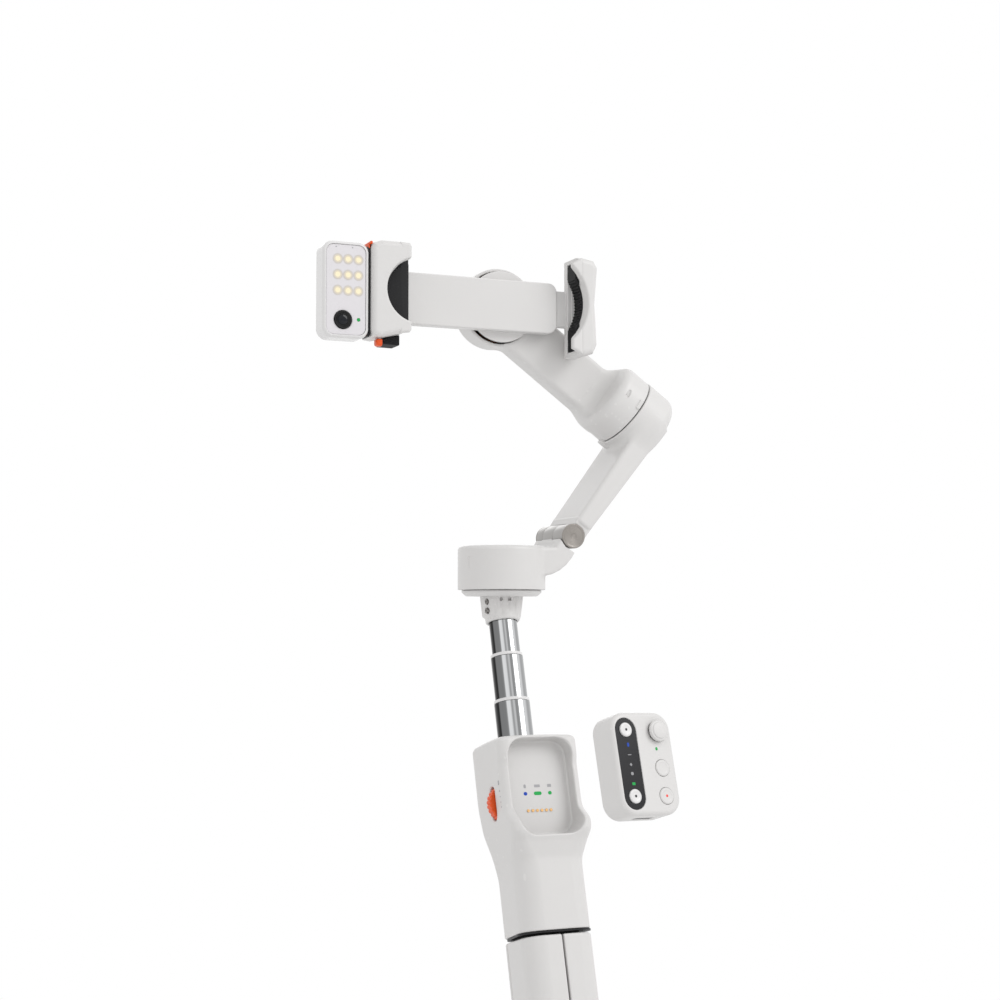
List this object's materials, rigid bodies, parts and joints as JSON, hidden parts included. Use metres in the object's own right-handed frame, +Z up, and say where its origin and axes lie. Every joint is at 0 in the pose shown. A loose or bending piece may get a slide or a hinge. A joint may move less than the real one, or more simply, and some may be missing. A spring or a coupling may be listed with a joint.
{
  "type": "gimbal stabilizer",
  "caption": "Handheld phone gimbal with telescopic rod, folding arm, sprung-style clamp, clip-on tracking light and snap-in remote.",
  "frame": {"origin": "centre of the tripod socket's mouth, on the underside of the base hub", "axes": "+Z up the handle, -Y out of the remote's pocket, +X to the right seen from the front"},
  "size_m": [0.1665, 0.1158, 0.3455],
  "materials": {
    "shell": "fine satin",
    "gloss": "gloss",
    "black": "matt",
    "rubber": "matt",
    "rod": "polished",
    "metal": "spun",
    "orange": "gloss",
    "copper": "enamelled wire",
    "contact": "plated",
    "lamp": "lit",
    "signal": "lit",
    "clear": "clear",
    "board": "lacquered",
    "cell": "shrink wrap"
  },
  "bodies": {
    "handle": {"grip_shell": "shell", "core_column": "black", "base_hub": "shell", "socket_insert": "metal", "battery_cell": "cell", "guide_tube": "rod", "top_collar": "shell", "cradle_tray": "shell", "status_leds": "signal", "pogo_pins": "contact", "wheel_axle": "metal", "usb_port": "metal", "leg_pins": "metal"},
    "wheel": {"zoom_wheel": "orange"},
    "trigger": {"trigger": "shell"},
    "leg_left": {"leg_left": "shell"},
    "leg_right": {"leg_right": "shell"},
    "leg_back": {"leg_back": "shell"},
    "rod_low": {"rod_1": "rod", "ring_1": "gloss"},
    "rod_mid": {"rod_2": "rod", "ring_2": "gloss"},
    "rod_tip": {"rod_3": "rod", "neck": "shell", "neck_screws": "metal", "pan_windings": "copper", "pan_bearing": "metal"},
    "pan": {"pan_housing": "shell", "pan_magnets": "metal", "pan_shaft": "metal", "lower_arm": "shell", "hinge_sleeve": "metal", "fold_pin": "metal"},
    "beam": {"beam": "shell", "tilt_windings": "copper"},
    "tilt": {"tilt_housing": "shell", "tilt_shaft": "metal", "roll_arm": "shell", "roll_windings": "copper"},
    "clamp": {"clamp_base": "shell", "roll_shaft": "metal", "guide_rods": "metal", "jaw_left": "shell", "pad_left": "rubber", "trim_tab": "orange"},
    "jaw": {"jaw_right": "shell", "pad_right": "rubber"},
    "tracker": {"tracker_case": "gloss", "tracker_cover": "clear", "tracker_board": "board", "light_leds": "lamp", "camera_eye": "black"},
    "remote": {"remote_case": "shell", "remote_core": "black"},
    "stick_cradle": {"stick_cradle": "black"},
    "stick": {"stick": "shell"},
    "key_up": {"key_up": "shell"},
    "key_down": {"key_down": "shell"},
    "key_mode": {"key_mode": "shell"},
    "key_record": {"key_record": "shell"}
  },
  "joints": [
    {"name": "rod_low_slide", "type": "slide", "parent": "handle", "child": "rod_low", "axis": [0, 0, 1], "range_m": [-0.0145, 0.052]},
    {"name": "rod_mid_slide", "type": "slide", "parent": "rod_low", "child": "rod_mid", "axis": [0, 0, 1], "range_m": [-0.018, 0.052]},
    {"name": "rod_tip_slide", "type": "slide", "parent": "rod_mid", "child": "rod_tip", "axis": [0, 0, 1], "range_m": [-0.0138, 0.05]},
    {"name": "pan_turn", "type": "hinge", "parent": "rod_tip", "child": "pan", "pos_m": [0, 0.0053, 0.20769], "axis": [0, -0.2756, 0.9613], "range_deg": [-165, 165]},
    {"name": "arm_fold", "type": "hinge", "parent": "pan", "child": "beam", "pos_m": [0.0275, -0.00118, 0.23028], "axis": [0, 0.9613, 0.2756], "range_deg": [0, 85]},
    {"name": "tilt_turn", "type": "hinge", "parent": "beam", "child": "tilt", "pos_m": [0, -0.02842, 0.32525], "axis": [-0.8059, -0.1632, 0.5691], "range_deg": [-100, 100]},
    {"name": "roll_turn", "type": "hinge", "parent": "tilt", "child": "clamp", "pos_m": [0, -0.02842, 0.32525], "axis": [0, 0.9613, 0.2756], "range_deg": [-90, 90]},
    {"name": "jaw_slide", "type": "slide", "parent": "clamp", "child": "jaw", "axis": [1, 0, 0], "range_m": [-0.018, 0.011]},
    {"name": "tracker_pull", "type": "slide", "parent": "clamp", "child": "tracker", "axis": [-1, 0, 0], "range_m": [0, 0.03]},
    {"name": "wheel_turn", "type": "hinge", "parent": "handle", "child": "wheel", "pos_m": [-0.012, -0.0022, 0.1161], "axis": [0, 1, 0], "continuous": true},
    {"name": "trigger_press", "type": "slide", "parent": "handle", "child": "trigger", "axis": [0, -1, 0], "range_m": [0, 0.0014], "stiffness_N_per_m": 400},
    {"name": "leg_left_fold", "type": "hinge", "parent": "handle", "child": "leg_left", "pos_m": [-0.01212, -0.007, 0.007], "axis": [0.5, -0.866, 0], "range_deg": [0, 98]},
    {"name": "leg_right_fold", "type": "hinge", "parent": "handle", "child": "leg_right", "pos_m": [0.01212, -0.007, 0.007], "axis": [0.5, 0.866, 0], "range_deg": [0, 98]},
    {"name": "leg_back_fold", "type": "hinge", "parent": "handle", "child": "leg_back", "pos_m": [0, 0.014, 0.007], "axis": [-1, 0, 0], "range_deg": [0, 98]},
    {"name": "remote_dock", "type": "hinge", "parent": "handle", "child": "remote", "pos_m": [0.4, -0.0149, 0.1209], "axis": [0, -0.1045, 0.9945], "range_deg": [-10, 0]},
    {"name": "stick_tip_up", "type": "hinge", "parent": "remote", "child": "stick_cradle", "pos_m": [0.01223, -0.08207, 0.12536], "axis": [0.9848, 0.1727, 0.0182], "range_deg": [-6, 6], "stiffness_Nm_per_rad": 0.02},
    {"name": "stick_tip_side", "type": "hinge", "parent": "stick_cradle", "child": "stick", "pos_m": [0.01223, -0.08207, 0.12536], "axis": [-0.0182, -0.0016, 0.9998], "range_deg": [-6, 6], "stiffness_Nm_per_rad": 0.02},
    {"name": "key_up_press", "type": "slide", "parent": "remote", "child": "key_up", "axis": [-0.1727, 0.985, -0.0016], "range_m": [0, 0.0004], "stiffness_N_per_m": 400},
    {"name": "key_down_press", "type": "slide", "parent": "remote", "child": "key_down", "axis": [-0.1727, 0.985, -0.0016], "range_m": [0, 0.0004], "stiffness_N_per_m": 400},
    {"name": "key_mode_press", "type": "slide", "parent": "remote", "child": "key_mode", "axis": [-0.1727, 0.985, -0.0016], "range_m": [0, 0.0004], "stiffness_N_per_m": 400},
    {"name": "key_record_press", "type": "slide", "parent": "remote", "child": "key_record", "axis": [-0.1727, 0.985, -0.0016], "range_m": [0, 0.0004], "stiffness_N_per_m": 400}
  ]
}
